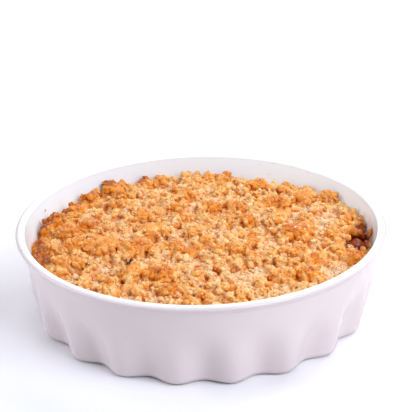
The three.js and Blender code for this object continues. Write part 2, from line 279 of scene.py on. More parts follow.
# Halfway between a groove and a flute's crest, where the flutes neither swell nor sink.
MID_FLUTE = math.pi / 2 / FLUTES
bead_round = RIM_THICKNESS / 2
rim_bottom = DISH_HEIGHT - RIM_THICKNESS
shoulder_z = DISH_HEIGHT - SHOULDER_DEPTH
base_r = outer_radius(BASE_ROUND) - BASE_ROUND
floor_r = float(inner_radius(FLOOR, MID_FLUTE))
shoulder_r = float(inner_radius(shoulder_z, 0.0))
rim_inner = RIM_RADIUS - RIM_WIDTH
wall_z = np.linspace(BASE_ROUND + 0.6, rim_bottom - UNDER_RIM_ROUND, 44)
floor_round_z = FLOOR + FLOOR_ROUND - FLOOR_ROUND * np.sin(np.radians(np.linspace(8, 90, 10)))
inside_z = np.concatenate([np.linspace(shoulder_z, FLOOR + FLOOR_ROUND, 40), floor_round_z])
profile = np.concatenate([
    np.linspace((POLE_RADIUS, FOOT_RECESS), (FOOT_RADIUS - 0.8, FOOT_RECESS), 9),
    arc(FOOT_RADIUS + 2.2, 1.2, 1.2, 1.2, 180, 270, 4),
    np.linspace((FOOT_RADIUS + 3, 0), (base_r - 1, 0), 4),
    arc(base_r, BASE_ROUND, BASE_ROUND, BASE_ROUND, 270, 356, 9),
    np.column_stack([outer_radius(wall_z), wall_z]),
    arc(WALL_TOP_RADIUS + 1.2, rim_bottom - UNDER_RIM_ROUND, 1.2, UNDER_RIM_ROUND + 0.15, 172, 96, 8),
    arc(RIM_RADIUS - bead_round, DISH_HEIGHT - bead_round, bead_round, bead_round, -74, 0, 6),
    arc(RIM_RADIUS - BEAD_WIDTH, DISH_HEIGHT - bead_round, BEAD_WIDTH, bead_round, 6, 88, 10),
    np.linspace((RIM_RADIUS - BEAD_WIDTH - 0.4, DISH_HEIGHT), (rim_inner + 0.8, DISH_HEIGHT), 3),
    arc(rim_inner + 0.5, shoulder_z, rim_inner + 0.5 - shoulder_r, SHOULDER_DEPTH, 92, 176, 11),
    np.column_stack([inner_radius(inside_z, MID_FLUTE), inside_z]),
    np.linspace((floor_r - 6, FLOOR), (POLE_RADIUS, FLOOR), 9),
])
print("profile points:", len(profile))

# %% [markdown]
# The flutes' share is 1 on the outer wall at the foot, less on the inside, and 0 on the rim, the
# underside and the floor's middle.

# %% The dish
def from_front(radius, angle):
    """x and y at a radius, and at an angle that starts from the front: (r sin a, -r cos a)."""
    return radius * np.sin(angle), -radius * np.cos(angle)


def ring_faces(rings, turns):
    """Quads between neighbouring rings, and a fan of triangles from each end ring to its pole."""
    ring, turn = np.meshgrid(np.arange(rings - 1), np.arange(turns), indexing="ij")
    after = (turn + 1) % turns
    quads = np.stack([ring * turns + turn, ring * turns + after,
                      (ring + 1) * turns + after, (ring + 1) * turns + turn], axis=-1).reshape(-1, 4)
    step = np.arange(turns)
    last = (rings - 1) * turns
    first_pole = np.column_stack([np.full(turns, rings * turns), (step + 1) % turns, step])
    last_pole = np.column_stack([np.full(turns, rings * turns + 1), last + step, last + (step + 1) % turns])
    return [quads, np.concatenate([first_pole, last_pole])]


def ring_points(x, y, z):
    """The grid's points row by row, then the two poles at the end rings' middles."""
    grid = np.stack([x, y, z], axis=-1)
    return np.concatenate([grid.reshape(-1, 3), grid[0].mean(0)[None], grid[-1].mean(0)[None]])


DISH_TURNS = FLUTES * 30
ring_r, ring_z = profile[:, 0], profile[:, 1]
on_outside = np.arange(len(profile)) < int(np.argmax(ring_r))
foot_share = smoothstep(FOOT_RADIUS + 2, base_r, ring_r)
floor_share = smoothstep(40, floor_r, ring_r)
flute_share = np.where(on_outside, foot_share, FLUTE_INSIDE * floor_share) * flute_ramp(ring_z)
angle = np.linspace(0, 2 * math.pi, DISH_TURNS, endpoint=False)
radius = ring_r[:, None] - FLUTE_DEPTH * flute_share[:, None] * np.cos(FLUTES * angle)[None, :]
dish_points = ring_points(*from_front(radius, angle), ring_z[:, None] + 0 * radius)
print("dish points:", len(dish_points))

# %% [markdown]
# Two numbers at each point colour the glaze. `inside` is 1 on the inner wall and nearly half on the
# rim's top. There the glaze is painted a bluer white as painted light, which also cancels the crumbs'
# warm bounce. Elsewhere it is painted a darker, pinker white as painted shade. `stain` says where
# juice and crumbs left amber smears and splashes.

# %% Marks on the glaze
INSIDE_RADIUS = 112
# Painted light: the rim's top takes nearly half of the inside's bluer white.
rim_top_light = 0.45 * smoothstep(RIM_RADIUS - 0.2, RIM_RADIUS - 2.4, ring_r)
lit_glaze_share = np.maximum(rim_top_light, smoothstep(rim_inner + 1.6, rim_inner - 0.6, ring_r)) * ~on_outside
inside_light_mark = np.concatenate([np.repeat(lit_glaze_share, DISH_TURNS), [0.0, 1.0]])
# azimuth in degrees, height, half width, half height, strength
WALL_STAINS = [
    (93, 50.2, 5, 2.4, 0.60), (89.4, 48.6, 4.5, 3.2, 0.75), (88.6, 44.8, 4.5, 3.6, 0.80),
    (89.6, 40.6, 4.5, 3.6, 0.75), (96, 47.5, 9, 7, 0.22), (98, 52, 4, 3.6, 0.20), (102.5, 49.8, 4, 4, 0.22),
    (102, 46, 5, 3, 0.45), (157.9, 56, 1.3, 1, 0.22), (153.8, 50, 1.6, 1, 0.20),
    (138.5, 57.6, 1.4, 1, 0.20), (152.3, 58.4, 2.5, 0.7, 0.18), (-164.6, 56.5, 0.9, 0.8, 0.35),
    (128, 50, 1.6, 1.2, 0.12), (-121, 50, 1.5, 1.4, 0.12),
]
stain_mark = np.zeros((len(profile), DISH_TURNS))
for azimuth, z, half_width, half_height, strength in WALL_STAINS:
    across = (np.degrees(angle)[None, :] - azimuth + 180) % 360 - 180
    share = np.hypot(np.radians(across) * INSIDE_RADIUS / half_width, (ring_z[:, None] - z) / half_height)
    stain = strength * (1 - smoothstep(0.35, 1.25, share)) * ~on_outside[:, None]
    stain_mark = np.maximum(stain_mark, stain)
dish = add_piece(
    "flan_dish",
    dish_points,
    ring_faces(len(profile), DISH_TURNS),
    porcelain,
    {"inside": inside_light_mark, "stain": np.concatenate([stain_mark.ravel(), [0.0, 0.0]])},
)
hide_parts("dish")

# %% [markdown]
# ## Where the clumps lie
#
# The topping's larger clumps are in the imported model, so they have to be in the same places here.
# They come from the same rule: the clumps that stand out in the photograph, then two size classes
# thrown at random where there is room, by the same small random generator with the same seed.

# %% The bed and its clumps
FILLING_TOP = 38.0
LAYER_GAP = 0.3
BED_EDGE_Z = 45.4
BED_DOME = 2.8
BED_WAVE = 0.7
WAVE_X, WAVE_Y, WAVE_SLANT = 11.0, 14.0, 17.0
CRUMB_SEED = 2718
SIZE_CLASSES = [(8, 4.4, 5.8), (260, 2.9, 4.2)]
TRIES_PER_CLUMP = 40
CLUMP_SPACING = 0.82
CLUMP_INSET = 0.7
# x, y, radius, stretch, turn in degrees, knobs
STANDING_CLUMPS = [
    (-63, -12, 9, 1.15, 10, 4), (-41, -14, 8, 1.2, 0, 4), (-81, -9, 7.5, 1.3, 20, 3),
    (-19, -18, 7.5, 1.6, 10, 3), (-43, -50, 7, 1.8, 60, 3), (-26, -52, 6.5, 1.3, 150, 3),
    (63, 5, 9, 1.4, 15, 4), (51, 54, 7, 1.5, 165, 3), (70, 24, 4.5, 1.5, 170, 2), (89, -1, 5, 1.9, 0, 2),
    (-62, 83, 7, 1.2, 30, 3), (-40, 95, 6, 1.1, 0, 3), (-78, 68, 5.5, 1.3, 50, 3), (-98, 32, 6, 1.4, 70, 3),
    (-101, -22, 6.5, 1.2, 100, 3), (-19, -75, 6, 1.8, 150, 2), (-54, 69, 5.5, 1.8, 0, 2),
    (-86, 47, 5, 1.3, 30, 2), (-86, 11, 6.5, 1.6, 10, 1), (-73, 18, 5, 1.3, 0, 1),
    (-54, 53, 6.5, 1.7, 170, 2), (-38, 34, 4.5, 2, 170, 1), (-15, 46, 5, 1.4, 0, 1),
    (-10, 68, 5, 1.7, 170, 1), (-32, 9, 8, 1.5, 0, 2), (-84, -35, 7, 1.5, 150, 3), (-14, -42, 3, 1.1, 0, 1),
    (-38, -73, 3.3, 1.1, 0, 1), (38, 85, 6, 1.7, 0, 2), (59, 77, 4, 1.2, 90, 1), (87, 60, 5.5, 1.6, 150, 2),
    (72, 61, 5.5, 1.2, 0, 1), (50, 22, 6.5, 1.3, 20, 2), (32, 24, 4.5, 1.5, 120, 1),
    (32, -11, 5, 1.2, 0, 1), (32, -29, 3.8, 1.1, 0, 1), (21, -21, 5, 1.7, 0, 1), (61, -26, 6, 2, 170, 2),
    (70, -36, 5, 1.5, 20, 1), (87, -19, 5, 1.4, 70, 1), (49, -58, 5.5, 1.4, 0, 1),
    (65, -55, 5.5, 1.4, 150, 1), (8, 47, 5, 1.2, 0, 1), (24, 43, 5, 1.4, 150, 1), (20, -3, 5, 1.9, 10, 2),
    (98, -34, 4.5, 1.4, 60, 1), (-6, -20, 4, 1.6, 30, 1),
]
# x, y, radius, stretch, turn in degrees, the height that the fruit reaches
FRUIT_GAPS = [(103.8, 1, 8.6, 1.5, 94, 42.5), (-44, -27.5, 3, 1.4, 160, 45.5)]
bed_edge_radius = outer_radius(BED_EDGE_Z) - WALL


def seeded(state):
    """Numbers from 0 to 1, each the last one's state times 48271, modulo 2^31 - 1."""
    while True:
        state = state * 48271 % 2147483647
        yield state / 2147483647


def bed_height(x, y):
    """The bed of crumbs: a low dome with gentle waves."""
    share = np.hypot(x, y) / 120.0
    wave = np.sin(x / WAVE_X + 1) * np.cos(y / WAVE_Y) + np.sin((x + 2 * y) / WAVE_SLANT + 2)
    return BED_EDGE_Z + BED_DOME * (1 - share * share) + BED_WAVE * wave


def throw_clumps():
    """The standing clumps, then each size class where it keeps its distance from all before it."""
    draw = seeded(CRUMB_SEED)
    clumps = list(STANDING_CLUMPS)
    taken = [c[:3] for c in STANDING_CLUMPS] + [g[:3] for g in FRUIT_GAPS]
    for count, low, high in SIZE_CLASSES:
        placed = tries = 0
        while placed < count and tries < count * TRIES_PER_CLUMP:
            tries += 1
            size, far, round_, stretch, turn = (next(draw) for _ in range(5))
            radius = low + (high - low) * size
            reach = (bed_edge_radius - CLUMP_INSET * radius) * math.sqrt(far)
            x = reach * math.cos(2 * math.pi * round_)
            y = reach * math.sin(2 * math.pi * round_)
            if any(math.hypot(c[0] - x, c[1] - y) < CLUMP_SPACING * (c[2] + radius) for c in taken):
                continue
            clumps.append((x, y, radius, 1 + 0.5 * stretch, 180 * turn, 0))
            taken.append((x, y, radius))
            placed += 1
    return clumps


clumps = throw_clumps()
print("clumps:", len(clumps))

# %% [markdown]
# The knobs of each clump follow the model's rule too: one in the middle and the rest round it on an
# oval, each lifted a little above the bed.

# %% The knobs
def turned(x, y, turn):
    """The point (x, y) turned about the middle: (x cos t - y sin t, x sin t + y cos t)."""
    return x * math.cos(turn) - y * math.sin(turn), x * math.sin(turn) + y * math.cos(turn)


def clump_knobs(clump, draw):
    """Rows of x, y, z, radius, stretch, turn in radians: the clump's own knobs."""
    cx, cy, size, stretch, turn, count = clump
    turn = math.radians(turn)
    rows = []
    for k in range(count):
        swing, out, share, lift, _, _ = (next(draw) for _ in range(6))
        around = 2 * math.pi * k / max(1, count - 1) + 0.8 * swing
        out = 0.0 if k == 0 else size * (0.42 + 0.16 * out)
        share = 0.72 if k == 0 else 0.44 + 0.16 * share
        dx, dy = turned(out * stretch * math.cos(around), out * math.sin(around), turn)
        z = bed_height(cx + dx, cy + dy) + size * (0.12 + 0.2 * lift)
        rows.append((cx + dx, cy + dy, z, size * (1 if count == 1 else share), stretch, turn))
    return rows


knob_draw = seeded(CRUMB_SEED + 1)
knobs = [row for clump in clumps for row in clump_knobs(clump, knob_draw)]
print("knobs:", len(knobs))

# %% [markdown]
# ## A map of heights
#
# The crust is easiest as a map of heights over the bed, as a landscape is. A dome is stamped for each
# clump and each knob, then for thousands of nuggets, and the map keeps the highest of them. The
# creases where two domes meet are what makes baked crumbs look like crumbs. The map is bent a little
# by soft noise before each stamp, so no dome has a round outline. A second map keeps how toasted each
# stamp is, because a clump browns as one.

# %% The height map
PITCH = 0.5
MAP_REACH = 114.0
BED_SINK = 1.0
map_side = np.arange(-MAP_REACH, MAP_REACH + PITCH, PITCH)
map_x, map_y = np.meshgrid(map_side, map_side)
height_map = bed_height(map_x, map_y) - BED_SINK
char_map = np.zeros_like(height_map)


def patches(x, y, size, seed):
    """Soft patches about `size` mm wide: twelve sines in random directions, added, with a spread of 1."""
    rng = np.random.default_rng(seed)
    total = 0.0
    for _ in range(12):
        direction, phase = rng.uniform(0, 2 * math.pi, 2)
        length = size * rng.uniform(0.7, 1.6)
        across = x * math.cos(direction) + y * math.sin(direction)
        total = total + np.sin(2 * math.pi * across / length + phase)
    return total / math.sqrt(6)


bent_x = map_x + 0.5 * patches(map_x, map_y, 6, 21) + 0.25 * patches(map_x, map_y, 3, 22)
bent_y = map_y + 0.5 * patches(map_x, map_y, 6, 23) + 0.25 * patches(map_x, map_y, 3, 24)
print("map:", height_map.shape)


# %% Read and blur a map
def sample(field, x, y):
    """The map's value at any place, blended between its four nearest points."""
    col = np.clip((x - map_side[0]) / PITCH, 0, len(map_side) - 1.001)
    row = np.clip((y - map_side[0]) / PITCH, 0, len(map_side) - 1.001)
    c, r = col.astype(int), row.astype(int)
    u, v = col - c, row - r
    low = field[r, c] * (1 - u) + field[r, c + 1] * u
    high = field[r + 1, c] * (1 - u) + field[r + 1, c + 1] * u
    return low * (1 - v) + high * v


def blurred(field, reach):
    """The mean over a square window, by running sums along rows and then along columns."""
    width = int(reach / PITCH)
    for axis in (0, 1):
        padded = np.pad(field, [(width + 1, width) if a == axis else (0, 0) for a in (0, 1)], mode="edge")
        sums = np.cumsum(padded, axis=axis)
        ahead = np.take(sums, np.arange(2 * width + 1, sums.shape[axis]), axis=axis)
        behind = np.take(sums, np.arange(0, sums.shape[axis] - 2 * width - 1), axis=axis)
        field = (ahead - behind) / (2 * width + 1)
    return field


def spot(x, y, size, full, faded):
    """A spot on the map: 1 up to the share `full` of its size, and 0 from the share `faded`."""
    return 1 - smoothstep(full, faded, np.hypot(bent_x - x, bent_y - y) / size)


# %% Stamp the clumps
CLUMP_SWELL = 0.66
KNOB_FLATNESS = 0.66
BEND = 1.2


def span(middle, reach):
    """The map's rows or columns within reach of a place."""
    ends = (middle + np.array([-reach, reach]) - map_side[0]) / PITCH
    return slice(*np.clip(ends, 0, len(map_side)).astype(int))


def stamp(x, y, z, radius, stretch, turn, rise, char):
    """Raises the map to a blunt oval dome, z + rise (1 - d^2.4)^0.7, d being the oval's share there."""
    reach = radius * math.sqrt(stretch)
    window = (span(y, reach + BEND), span(x, reach + BEND))
    along, across = turned(bent_x[window] - x, bent_y[window] - y, -turn)
    inside = 1 - np.hypot(along / reach, across * math.sqrt(stretch) / radius) ** 2.4
    dome = np.where(inside > 0, z + rise * np.maximum(inside, 0) ** 0.7, -np.inf)
    higher = dome > height_map[window]
    height_map[window][higher] = dome[higher]
    char_map[window][higher] = char


chance = np.random.default_rng(31)
for cx, cy, size, stretch, turn, count in clumps:
    stamp(cx, cy, float(bed_height(cx, cy)), size, stretch, math.radians(turn),
          CLUMP_SWELL * size, chance.normal(0.02 * count, 0.05))
for x, y, z, size, stretch, turn in knobs:
    stamp(x, y, z, size, stretch, turn, KNOB_FLATNESS * size, chance.normal(0.08, 0.05))
print("highest clump:", round(float(height_map.max()), 1), "mm")

# %% [markdown]
# In some places the crust's edge sank or drew away from the wall, and in a few it rose. The clump
# before the berry lies lower too, so that the berry shows over it. How far the crust sank is a map of
# its own, because the crumbs near the wall need it again. Round each clump's foot runs a crease, where
# the ground lies below the mean of its neighbourhood.

# %% Where the crust sank
# azimuth and half width in degrees, how far in it reaches, depth
EDGE_DIPS = [
    (161, 15, 16, 4.2), (-119, 9, 14, 4.2), (180, 85, 12, 1), (-98, 30, 6, 5.2), (-150, 6, 10, 4),
    (119, 9, 12, -2.4), (106, 8, 8, -1.6),
]
# The one dark berry left of the middle: x, y, radius, top
BERRY = (-44.3, -35.6, 2.7, 52.9)
# The dent in the clump before it: how far before the berry, radius, depth
BERRY_DENT = (4.6, 8, 2.4)
map_radius, map_azimuth = np.hypot(map_x, map_y), np.degrees(np.arctan2(map_x, -map_y))
dip_map = np.zeros_like(height_map)
for azimuth, half_width, reach, depth in EDGE_DIPS:
    across = np.abs((map_azimuth - azimuth + 180) % 360 - 180) / half_width
    near_wall = smoothstep(bed_edge_radius - reach, bed_edge_radius - 1, map_radius)
    dip_map += depth * (1 - smoothstep(0.5, 1.0, across)) * near_wall
before_berry = np.hypot(map_x - BERRY[0], map_y - BERRY[1] + BERRY_DENT[0])
dip_map += BERRY_DENT[2] * (1 - smoothstep(0.4, 1.0, before_berry / BERRY_DENT[1]))
height_map -= dip_map
clump_map = height_map.copy()
clump_relief = clump_map + dip_map - bed_height(map_x, map_y)
foot_map = smoothstep(0.35, 1.5, blurred(blurred(clump_map, 4), 4) - clump_map)
print("clump relief:", round(float(clump_relief.max()), 1), "mm")

# %% [markdown]
# The topping isn't even. In some places coarse, browned lumps crowd together, and between them lie
# hollows of fine, pale crumbs. The patches that stand out in the photograph are listed, and soft noise
# gives the rest. One map says how crowded each place is, from 0 to 1.

# %% Crowded and fine places
# x, y, radius, how much more toasted (or paler, below 0)
TONE_PATCHES = [
    (-27, -59, 11, 0.16), (-103, -15, 12, 0.16), (-79, 68, 14, 0.18), (97, -31, 12, 0.18),
    (-76, -15, 12, 0.14), (-87, 46, 13, 0.16), (-84, -42, 12, 0.14), (-75, 13, 13, 0.12),
    (-101, 27, 12, 0.14), (-40, -51, 11, 0.12), (-14, -21, 12, 0.12), (62, -59, 11, 0.10),
    (52, 48, 13, 0.10), (6, 92, 16, 0.10), (-53, 63, 12, 0.08), (58, -30, 13, 0.08), (63, 4, 12, 0.12),
    (96, 22, 10, 0.14), (57, 77, 14, 0.08), (25, 24, 13, 0.06), (26, -56, 17, -0.14), (79, 34, 18, -0.20),
    (-16, 2, 17, -0.14), (0, -43, 15, -0.12), (-58, -42, 14, -0.12), (8, 6, 15, -0.10),
    (80, -40, 13, -0.10), (-70, -55, 12, -0.08), (-2, 70, 17, -0.06), (-68, 30, 15, -0.08),
    (22, 56, 16, -0.06), (-76, 14.6, 6, 0.16), (-62, -15, 5, 0.10), (-39, -18, 6, 0.08),
    (-12, -24, 5, 0.14), (-26, -61, 5, 0.12), (63, 2, 6, 0.08), (51, 48, 5, 0.14), (-66, 88, 8, 0.16),
    (-88, 50, 7, 0.14), (-100, 40, 8, 0.16), (-104, 4, 8, 0.16), (-103, 18, 7, 0.12), (-42, 100, 6, 0.10),
    (-9, 104, 8, 0.08),
]
tone_map = np.zeros_like(height_map)
for x, y, size, tone in TONE_PATCHES:
    tone_map += tone * spot(x, y, size, 0.35, 1.25)
crowd_map = smoothstep(-0.9, 1.1, 0.55 * patches(map_x, map_y, 21, 5) + 6 * tone_map + 0.3 * clump_relief)
print("crowded share:", round(float(crowd_map.mean()), 2))

# %% [markdown]
# The nuggets between and on the clumps are 2 to 9 mm across, in three sizes. They are thrown on a
# jittered grid, so that they cover the bed evenly but in no pattern. Each stands on the surface that
# the larger ones before it make, a little sunk.

# %% Stamp the nuggets
def jittered(spacing, reach, rng):
    """Places on a square grid, each moved by up to about half a step, within a radius."""
    line = np.arange(-reach, reach + spacing, spacing)
    x, y = (g.ravel() + rng.uniform(-0.55, 0.55, g.size) * spacing for g in np.meshgrid(line, line))
    kept = np.hypot(x, y) < reach
    return x[kept], y[kept]


BED_RADIUS = outer_radius(BED_EDGE_Z + 1) - WALL
# spacing, smallest and largest radius, how deep it sinks and how far it rises, in radii
NUGGET_SIZES = [(6.4, 2.4, 4.2, 0.35, 0.85), (4.0, 1.4, 2.4, 0.35, 0.85), (2.2, 0.8, 1.2, 0.35, 0.8)]
for spacing, low, high, sink, rise in NUGGET_SIZES:
    ground_map = blurred(height_map, 0.5)
    ground_char = char_map.copy()
    for x, y in zip(*jittered(spacing, BED_RADIUS - 1, chance)):
        crowd = float(sample(crowd_map, x, y))
        size = chance.uniform(low, high) * (0.4 + 0.7 * crowd if spacing > 3 else 1.0)
        stamp(x, y, float(sample(ground_map, x, y)) - sink * size, size, chance.uniform(1, 1.8),
              chance.uniform(0, math.pi), rise * size,
              chance.normal(0.0, 0.05) + 0.85 * float(sample(ground_char, x, y)))
print("stamped relief:", round(float((height_map - clump_map).max()), 2), "mm")

# %% [markdown]
# The crust is open down to the fruit in two places: a hollow at the right edge, which runs on towards
# the front, and a small gap left of the middle, where the one berry shows. There the map is pushed
# down to just above the crust's underside, with a steep side whose outline wavers.

# %% Open the gaps
CRUST_BOTTOM = FILLING_TOP + LAYER_GAP
OPEN_GAPS = [FRUIT_GAPS[0], (101.2, -9.8, 7.4, 1.15, 100, 43.0), (*BERRY[:2], 3.0, 1.3, 170, 45.5)]
# x, y, radius and how wet: places where juice ran up between the crumbs and the wall
JUICY_PLACES = [(107, 14, 5, 0.9), (107, 22, 4, 0.8), (103, -19, 4, 0.5), (-104, -14, 4, 0.5),
                (-100, -29, 6.5, 0.75), (-105, 20, 2.5, 0.8), (-76, 72, 3, 0.6)]


def oval_distance(x, y, gap):
    """The distance from a gap's middle as a share of its oval's reach."""
    along, across = turned(x - gap[0], y - gap[1], -math.radians(gap[4]))
    return np.hypot(along / math.sqrt(gap[3]), across * math.sqrt(gap[3])) / gap[2]


juice_and_shade_map = np.zeros_like(height_map)
for gap in OPEN_GAPS:
    distance = oval_distance(map_x, map_y, gap) * (1 + 0.08 * patches(map_x, map_y, 5, 8))
    open_share = 1 - smoothstep(0.82, 1.12, distance)
    height_map = height_map * (1 - open_share) + (CRUST_BOTTOM + 0.4) * open_share
    juice_and_shade_map = np.maximum(juice_and_shade_map, 1 - smoothstep(0.95, 1.35, distance))
for x, y, size, share in JUICY_PLACES:
    juice_and_shade_map = np.maximum(juice_and_shade_map, share * spot(x, y, size, 0.5, 1.2))
print("wet share:", round(float(juice_and_shade_map.mean()), 3))

# %% [markdown]
# Dark pits and cracks lie mostly at the clumps' feet, and smaller ones all over the crust between the
# crumbs. Those that stand out in the photograph are listed, and the others are thrown on a jittered
# grid. Each is a soft dent, and its bottom is painted dark red in the juice colour: painted shade,
# with a little real juice.

# %% Pits
# x, y, radius
PITS = [
    (-4.8, 7.3, 1.4), (-29, -31.9, 1.8), (-50.5, -29.9, 1.3), (-70.7, -29.1, 1.4), (-65.6, -27.6, 1.2),
    (-105.8, -3.3, 2.4), (-100.4, -25, 3), (-99.4, -18.6, 2.2), (-27.1, -56, 1.9), (-38.5, -56.3, 1.5),
    (-18.6, 27.1, 1.3), (-0.9, -69.4, 1.3), (-32.5, -72.9, 1.5), (-55.8, 17.5, 1.3), (-82.2, -43, 1.8),
    (-77.3, 72.1, 1.8), (12.7, 25.6, 1.8), (53.1, 47.8, 1.9), (24.6, 38.8, 1.4), (4.6, -32.6, 1.1),
    (20.4, -28.6, 1.5), (27.9, -36, 1.5), (45.2, 14.2, 1.4), (44.7, -39.5, 1.5), (57.9, -36.5, 1.3),
    (46.9, -77.3, 2), (57.7, -72.5, 1.6), (76.8, -18.5, 1.6), (35.5, 18.7, 1.4),
]
pit_draw = np.random.default_rng(31)
pit_x, pit_y = jittered(8.5, BED_RADIUS - 4, pit_draw)
small_pits = list(zip(pit_x, pit_y, pit_draw.uniform(0.6, 1.15, len(pit_x))))
all_pits = PITS + small_pits
for x, y, size, pit_shade in [(*pit, 0.8) for pit in PITS] + [(*pit, 0.35) for pit in small_pits]:
    height_map -= (1.2 + 0.9 * size) * spot(x, y, size, 0.4, 1.3)
    # Painted shade: each pit's bottom takes the dark red juice colour.
    juice_and_shade_map = np.maximum(juice_and_shade_map, pit_shade * spot(x, y, size, 0.5, 1.15))
height_map -= 1.1 * foot_map
print("pits:", len(all_pits))

# %% [markdown]
# The free space over the food starts at 55.3 mm, so what would stand higher is pressed down softly.

# %% The ceiling
SOFT_CEILING = 53.6
CEILING_SLACK = 1.5
over = np.maximum(height_map - SOFT_CEILING, 0)
height_map += CEILING_SLACK * (1 - np.exp(-over / CEILING_SLACK)) - over
print("lowest:", round(float(height_map.min()), 1), "mm, highest:", round(float(height_map.max()), 1), "mm")

# %% [markdown]
# ## How toasted
#
# The oven browns what stands out and what lies by the hot wall, in patches, while the hollows stay
# pale. So the toasting is worked out as a number from 0 to 1 for each point: the height over the
# neighbourhood's mean height, broad patches, the clump's own share, and the distance to the wall. The
# left of the wall was hotter. A second number says how deep in a crease a point lies. There the
# colour is painted a darker amber, as painted shade.

# %% The toasting
broad = np.clip((height_map - blurred(blurred(height_map, 7), 7)) / 2.5, -1.0, 1.6)
fine = np.clip((height_map - blurred(blurred(height_map, 2), 2)) / 1.2, -1.0, 1.0)
by_wall = smoothstep(BED_RADIUS - 12, BED_RADIUS, np.hypot(map_x, map_y))
left_share = 0.78 - 0.62 * map_x / BED_RADIUS
toast_map = (
    0.165 + 0.17 * smoothstep(2.2, 5.0, clump_relief) + 0.20 * broad + 0.05 * fine
    + 0.04 * patches(map_x, map_y, 34, 3) + 0.06 * patches(map_x, map_y, 9, 4)
    + char_map + 1.2 * tone_map + 0.28 * by_wall * left_share
)
# The inner bed browns less than the edge: what goes past 0.55 is pressed towards it.
toast_map = np.where(toast_map > 0.55, 0.55 + (toast_map - 0.55) * (0.5 + 0.4 * by_wall), toast_map)
toast_map = np.clip(toast_map, 0.0, 1.0)
# Painted shade: creases and the clumps' feet take the darker amber through this map.
crease_shade_map = np.maximum(0.9 * smoothstep(0.0, 0.8, -fine), 0.75 * foot_map)
print("toasting: mean", round(float(toast_map.mean()), 2), "highest", round(float(toast_map.max()), 2))

# %% [markdown]
# ## The baked crumb finish
#
# One finish serves the crust and all its crumbs. The toasting picks the colour, from pale butter
# yellow over gold to a dark red-brown. A fine noise speckles it as flour and sugar do, small cells
# stand for the grains that fused, with painted shade along their edges, and a thin butter gloss
# catches the lamps. The mark `deep` paints creases and undersides a darker amber: painted shade, with
# the amber that light bouncing between the crumbs makes in the real thing. There the shine is
# turned down too.
# Where juice has soaked in, the mark `wet` turns the crumb dark red and glossy.

# %% Baked crumb
CREASE_SHADE_AMBER = (0.80, 0.25, 0.003, 1.0)
SOAKED_RED = (0.28, 0.040, 0.006, 1.0)
TOASTING_COLORS = [
    (0.0, (0.84, 0.66, 0.42)), (0.2, (0.84, 0.62, 0.32)), (0.4, (0.84, 0.54, 0.195)),
    (0.6, (0.80, 0.35, 0.076)), (0.8, (0.58, 0.145, 0.020)), (1.0, (0.24, 0.045, 0.012)),
]
baked, tree, shader = new_finish("baked_crumb", IOR=1.45, Coat_Roughness=0.18)
place = add_node(tree, "ShaderNodeTexCoord").outputs["Object"]
wet = point_mark(tree, "wet")
speckle = remap(tree, noise(tree, place, 900.0, 3.0), (0.3, 0.7), (-0.05, 0.05))
toasted = add_node(tree, "ShaderNodeMath", {0: point_mark(tree, "toast"), 1: speckle}, operation="ADD")
grains = add_node(tree, "ShaderNodeTexVoronoi", {"Vector": place, "Scale": 560.0, "Randomness": 1.0})
# Painted shade: the grains' cell edges count as creases.
grain_edge_shade = remap(tree, grains.outputs["Distance"], (0.4, 0.8), (0.0, 0.5))
deepest = {0: point_mark(tree, "deep"), 1: grain_edge_shade}
creases = add_node(tree, "ShaderNodeMath", deepest, operation="MAXIMUM").outputs["Value"]
crumb_color = color_steps(tree, toasted.outputs["Value"], TOASTING_COLORS)
# Painted shade: creases, cell edges and undersides blend towards the darker amber, and their shine drops.
crumb_color = blend(tree, creases, crumb_color, CREASE_SHADE_AMBER)
grain_bump = bump(tree, grains.outputs["Distance"], 0.45, 0.0009, invert=True)
drive(
    tree,
    shader,
    Base_Color=blend(tree, wet, crumb_color, SOAKED_RED),
    Roughness=remap(tree, wet, (0.0, 1.0), (0.55, 0.18)),
    Specular_IOR_Level=remap(tree, creases, (0.0, 1.0), (0.4, 0.05)),
    Coat_Weight=remap(tree, wet, (0.0, 1.0), (0.18, 0.0)),
    Normal=bump(tree, noise(tree, place, 1500.0, 4.0), 0.2, 0.0003, Normal=grain_bump),
)
print("baked crumb nodes:", len(tree.nodes))

# %% [markdown]
# ## A layer of food in the dish
#
# A layer is a square grid laid over the disc so that its cells keep their area. Squares on the grid
# become rings on the disc, and the border goes down along the dish's wall to the layer's underside.
# Both the crust and the fruit below it are such layers.

# %% The layer's surface
def disc_places(count):
    """Share of the radius and angle for a square grid: each square about the middle becomes a ring."""
    line = np.linspace(-1, 1, count)
    u, v = np.meshgrid(line, line, indexing="ij")
    wide = np.abs(u) > np.abs(v)
    share = np.where(wide, u, v)
    safe = np.where(np.abs(share) < 1e-9, 1.0, share)
    angle = np.where(wide, math.pi / 4 * v / safe, math.pi / 2 - math.pi / 4 * u / safe)
    return share, angle


